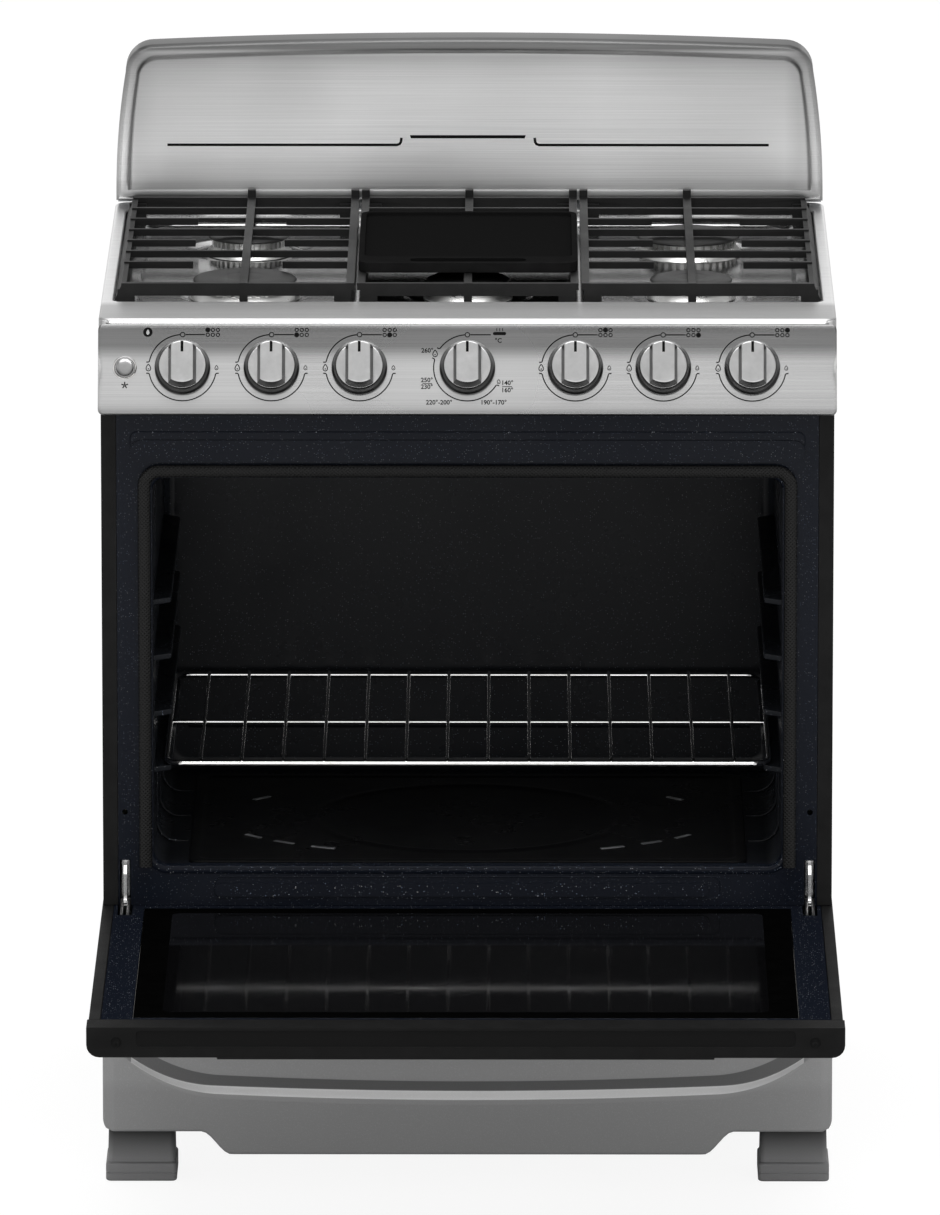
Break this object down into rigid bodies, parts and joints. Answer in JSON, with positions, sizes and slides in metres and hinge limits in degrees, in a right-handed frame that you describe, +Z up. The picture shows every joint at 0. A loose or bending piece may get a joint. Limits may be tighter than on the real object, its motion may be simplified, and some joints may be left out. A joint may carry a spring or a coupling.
{
  "type": "freestanding gas range",
  "caption": "Freestanding gas range with a drop-down oven door, cast grates over the burners, a griddle plate, turn knobs, a wire rack and a lower drawer.",
  "frame": {"origin": "on the floor, under the middle of the box that holds the range with its oven door open", "axes": "+Z up, -Y the front that the cook stands at, +X to the cook's right when facing the range"},
  "size_m": [0.761, 1.16, 1.1],
  "materials": {
    "brushed_steel": "brushed",
    "hinge_steel": "satin",
    "black_painted_steel": "satin",
    "galvanised_steel": "dull zinc",
    "speckled_enamel": "gloss with white specks",
    "black_enamel": "gloss",
    "grey_plastic": "matte",
    "black_plastic": "satin",
    "woven_seal": "woven",
    "mineral_wool": "fibrous",
    "burner_aluminium": "cast",
    "cast_iron": "matte enamel",
    "knob_metal": "satin",
    "chrome_wire": "bright",
    "dark_glass": "gloss",
    "grey_paint": "satin"
  },
  "bodies": {
    "cabinet": {"side_panel_left": "black_painted_steel", "side_panel_right": "black_painted_steel", "rear_panel": "galvanised_steel", "base_frame": "galvanised_steel", "foot_front_left": "grey_plastic", "foot_front_right": "grey_plastic", "foot_rear_left": "grey_plastic", "foot_rear_right": "grey_plastic", "front_frame": "speckled_enamel", "oven_liner": "speckled_enamel", "oven_floor": "black_enamel", "oven_burner": "galvanised_steel", "oven_gasket": "woven_seal", "oven_insulation": "mineral_wool", "cooktop": "brushed_steel", "burner_head_rear_left": "burner_aluminium", "burner_head_rear_center": "burner_aluminium", "burner_head_rear_right": "burner_aluminium", "burner_head_front_left": "burner_aluminium", "burner_head_front_center": "burner_aluminium", "burner_head_front_right": "burner_aluminium", "burner_cap_rear_left": "cast_iron", "burner_cap_rear_center": "cast_iron", "burner_cap_rear_right": "cast_iron", "burner_cap_front_left": "cast_iron", "burner_cap_front_center": "cast_iron", "burner_cap_front_right": "cast_iron", "control_panel": "brushed_steel", "gas_manifold": "galvanised_steel", "backguard": "brushed_steel", "backguard_back": "galvanised_steel", "hinge_receiver_left": "hinge_steel", "hinge_receiver_right": "hinge_steel", "drawer_runner_left": "galvanised_steel", "drawer_runner_right": "galvanised_steel"},
    "door": {"door_inner_panel": "speckled_enamel", "door_inner_glass": "dark_glass", "door_outer_glass": "dark_glass", "door_side_trim_left": "black_plastic", "door_side_trim_right": "black_plastic", "door_top_trim": "black_plastic", "hinge_leaf_left": "hinge_steel", "hinge_leaf_right": "hinge_steel"},
    "knob_rear_left": {"knob_rear_left": "knob_metal"},
    "knob_front_left": {"knob_front_left": "knob_metal"},
    "knob_front_center": {"knob_front_center": "knob_metal"},
    "knob_oven": {"knob_oven": "knob_metal"},
    "knob_rear_center": {"knob_rear_center": "knob_metal"},
    "knob_front_right": {"knob_front_right": "knob_metal"},
    "knob_rear_right": {"knob_rear_right": "knob_metal"},
    "ignition_button": {"ignition_button": "knob_metal"},
    "grate_left": {"grate_left": "cast_iron"},
    "grate_center": {"grate_center": "cast_iron"},
    "grate_right": {"grate_right": "cast_iron"},
    "griddle": {"griddle": "cast_iron"},
    "oven_rack": {"oven_rack": "chrome_wire"},
    "drawer": {"drawer_front": "grey_paint", "drawer_box": "galvanised_steel"}
  },
  "joints": [
    {"name": "door_hinge", "type": "hinge", "parent": "cabinet", "child": "door", "pos_m": [0, -0.065, 0.298], "axis": [1, 0, 0], "range_deg": [-90, 0]},
    {"name": "drawer_slide", "type": "slide", "parent": "cabinet", "child": "drawer", "axis": [0, -1, 0], "range_m": [0, 0.33]},
    {"name": "rack_slide", "type": "slide", "parent": "cabinet", "child": "oven_rack", "axis": [0, -1, 0], "range_m": [0, 0.28]},
    {"name": "knob_rear_left_turn", "type": "hinge", "parent": "cabinet", "child": "knob_rear_left", "pos_m": [-0.29272, -0.08679, 0.868], "axis": [0, -0.9208, 0.39], "range_deg": [0, 270]},
    {"name": "knob_front_left_turn", "type": "hinge", "parent": "cabinet", "child": "knob_front_left", "pos_m": [-0.20132, -0.08679, 0.868], "axis": [0, -0.9208, 0.39], "range_deg": [0, 270]},
    {"name": "knob_front_center_turn", "type": "hinge", "parent": "cabinet", "child": "knob_front_center", "pos_m": [-0.11091, -0.08679, 0.868], "axis": [0, -0.9208, 0.39], "range_deg": [0, 270]},
    {"name": "knob_oven_turn", "type": "hinge", "parent": "cabinet", "child": "knob_oven", "pos_m": [0, -0.08679, 0.868], "axis": [0, -0.9208, 0.39], "range_deg": [0, 250]},
    {"name": "knob_rear_center_turn", "type": "hinge", "parent": "cabinet", "child": "knob_rear_center", "pos_m": [0.11091, -0.08679, 0.868], "axis": [0, -0.9208, 0.39], "range_deg": [0, 270]},
    {"name": "knob_front_right_turn", "type": "hinge", "parent": "cabinet", "child": "knob_front_right", "pos_m": [0.20132, -0.08679, 0.868], "axis": [0, -0.9208, 0.39], "range_deg": [0, 270]},
    {"name": "knob_rear_right_turn", "type": "hinge", "parent": "cabinet", "child": "knob_rear_right", "pos_m": [0.29272, -0.08679, 0.868], "axis": [0, -0.9208, 0.39], "range_deg": [0, 270]},
    {"name": "ignition_button_press", "type": "slide", "parent": "cabinet", "child": "ignition_button", "axis": [0, 0.9208, -0.39], "range_m": [0, 0.003], "stiffness_N_per_m": 300, "springref_m": -0.001},
    {"name": "grate_left_lift", "type": "slide", "parent": "cabinet", "child": "grate_left", "axis": [0, 0, 1], "range_m": [0, 0.1]},
    {"name": "grate_center_lift", "type": "slide", "parent": "cabinet", "child": "grate_center", "axis": [0, 0, 1], "range_m": [0, 0.1]},
    {"name": "grate_right_lift", "type": "slide", "parent": "cabinet", "child": "grate_right", "axis": [0, 0, 1], "range_m": [0, 0.1]},
    {"name": "griddle_lift", "type": "slide", "parent": "grate_center", "child": "griddle", "axis": [0, 0, 1], "range_m": [0, 0.08]}
  ]
}
